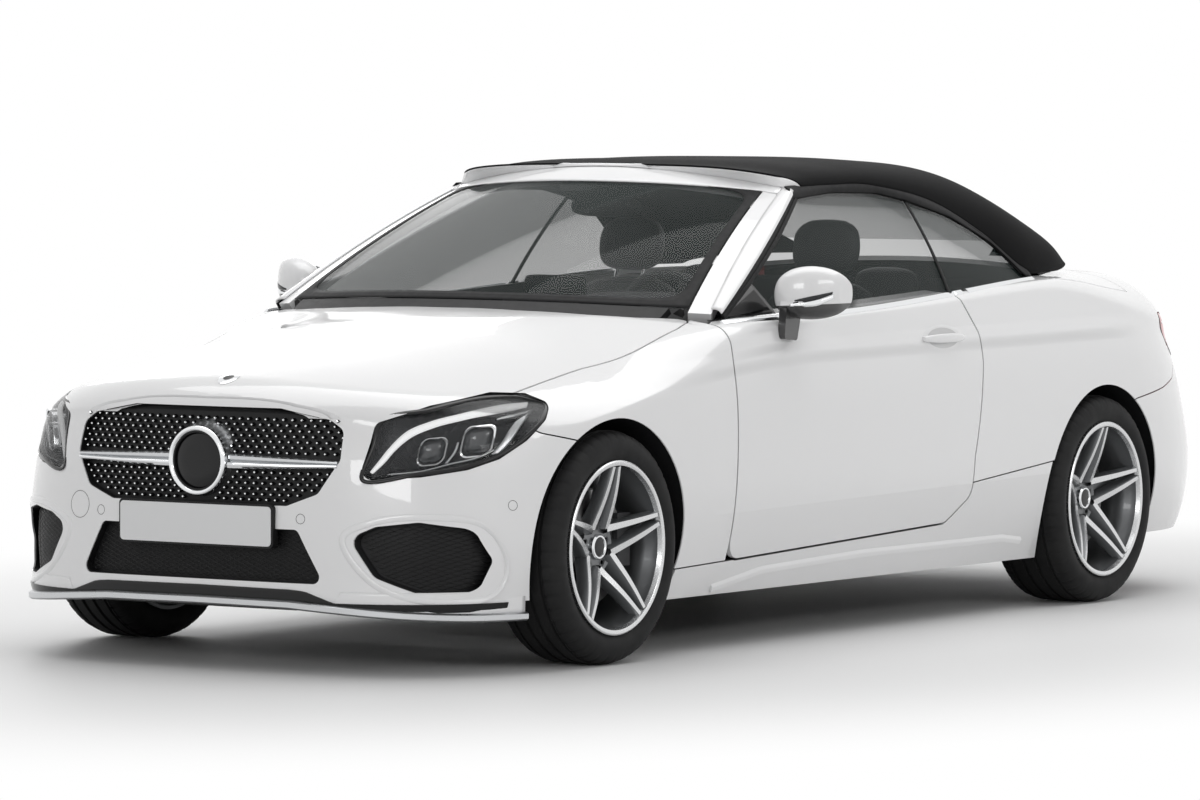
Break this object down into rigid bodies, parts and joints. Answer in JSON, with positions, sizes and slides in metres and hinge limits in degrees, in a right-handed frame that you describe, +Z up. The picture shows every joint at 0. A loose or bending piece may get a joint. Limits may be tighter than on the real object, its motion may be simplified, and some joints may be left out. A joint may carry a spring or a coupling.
{
  "type": "convertible car",
  "caption": "Open-top passenger car with its fabric roof raised; rolls on wheels and steers, and its doors, bonnet and boot lid open.",
  "frame": {"origin": "on the ground under the middle of the car's length and width", "axes": "+X to the car's left, +Y to its tail, +Z up"},
  "size_m": [2.014, 4.6845, 1.41],
  "materials": {
    "paint": "gloss white with clear coat",
    "black_plastic": "satin black",
    "bright_trim": "polished",
    "lamp_glass": "clear",
    "lamp_red": "clear red lens",
    "window_glass": "lightly tinted",
    "roof_fabric": "woven black roof cloth",
    "dark_metal": "bare and sooty",
    "cabin_plastic": "grained black",
    "seat_leather": "black, lightly grained",
    "tyre": "black rubber",
    "wheel_metal": "machined and painted silver grey"
  },
  "bodies": {
    "body": {"front_fenders": "paint", "rear_quarters": "paint", "side_skirts": "paint", "front_bumper": "paint", "rear_bumper": "paint", "tonneau_cover": "paint", "intake_meshes": "black_plastic", "front_lip": "bright_trim", "grille": "black_plastic", "headlamps": "lamp_glass", "tail_lamps": "lamp_red", "windscreen": "window_glass", "windscreen_frame": "paint", "cowl": "black_plastic", "soft_top": "roof_fabric", "rear_window": "window_glass", "quarter_windows": "window_glass", "floor_pan": "paint", "front_body": "paint", "rear_body": "paint", "front_axle": "dark_metal", "rear_axle": "dark_metal", "engine": "dark_metal", "dashboard": "cabin_plastic", "steering_wheel": "cabin_plastic", "front_seats": "seat_leather", "rear_seats": "seat_leather", "exhaust": "dark_metal"},
    "door_left": {"door_left": "paint", "door_glass_left": "window_glass", "mirror_left": "paint"},
    "door_right": {"door_right": "paint", "door_glass_right": "window_glass", "mirror_right": "paint"},
    "bonnet": {"bonnet": "paint"},
    "boot_lid": {"boot_lid": "paint"},
    "knuckle_left": {"knuckle_left": "dark_metal"},
    "knuckle_right": {"knuckle_right": "dark_metal"},
    "wheel_front_left": {"wheel_front_left": "wheel_metal", "tyre_front_left": "tyre"},
    "wheel_front_right": {"wheel_front_right": "wheel_metal", "tyre_front_right": "tyre"},
    "wheel_rear_left": {"wheel_rear_left": "wheel_metal", "tyre_rear_left": "tyre"},
    "wheel_rear_right": {"wheel_rear_right": "wheel_metal", "tyre_rear_right": "tyre"}
  },
  "joints": [
    {"name": "steer_left", "type": "hinge", "parent": "body", "child": "knuckle_left", "pos_m": [0.7515, -1.568, 0.329], "axis": [0, 0, 1], "range_deg": [-35, 35]},
    {"name": "steer_right", "type": "hinge", "parent": "body", "child": "knuckle_right", "pos_m": [-0.7515, -1.568, 0.329], "axis": [0, 0, 1], "range_deg": [-35, 35]},
    {"name": "roll_front_left", "type": "hinge", "parent": "knuckle_left", "child": "wheel_front_left", "pos_m": [0.7815, -1.568, 0.329], "axis": [1, 0, 0], "continuous": true},
    {"name": "roll_front_right", "type": "hinge", "parent": "knuckle_right", "child": "wheel_front_right", "pos_m": [-0.7815, -1.568, 0.329], "axis": [1, 0, 0], "continuous": true},
    {"name": "roll_rear_left", "type": "hinge", "parent": "body", "child": "wheel_rear_left", "pos_m": [0.773, 1.272, 0.329], "axis": [1, 0, 0], "continuous": true},
    {"name": "roll_rear_right", "type": "hinge", "parent": "body", "child": "wheel_rear_right", "pos_m": [-0.773, 1.272, 0.329], "axis": [1, 0, 0], "continuous": true},
    {"name": "open_door_left", "type": "hinge", "parent": "body", "child": "door_left", "pos_m": [0.864, -0.867, 0.585], "axis": [0, 0, -1], "range_deg": [0, 62]},
    {"name": "open_door_right", "type": "hinge", "parent": "body", "child": "door_right", "pos_m": [-0.864, -0.867, 0.585], "axis": [0, 0, 1], "range_deg": [0, 62]},
    {"name": "open_bonnet", "type": "hinge", "parent": "body", "child": "bonnet", "pos_m": [0, -0.93, 0.925], "axis": [-1, 0, 0], "range_deg": [0, 48]},
    {"name": "open_boot_lid", "type": "hinge", "parent": "body", "child": "boot_lid", "pos_m": [0, 1.637, 1.07195], "axis": [1, 0, 0], "range_deg": [0, 75]}
  ],
  "couplings": [
    {"joint": "steer_right", "follows": "steer_left", "ratio": 1}
  ]
}
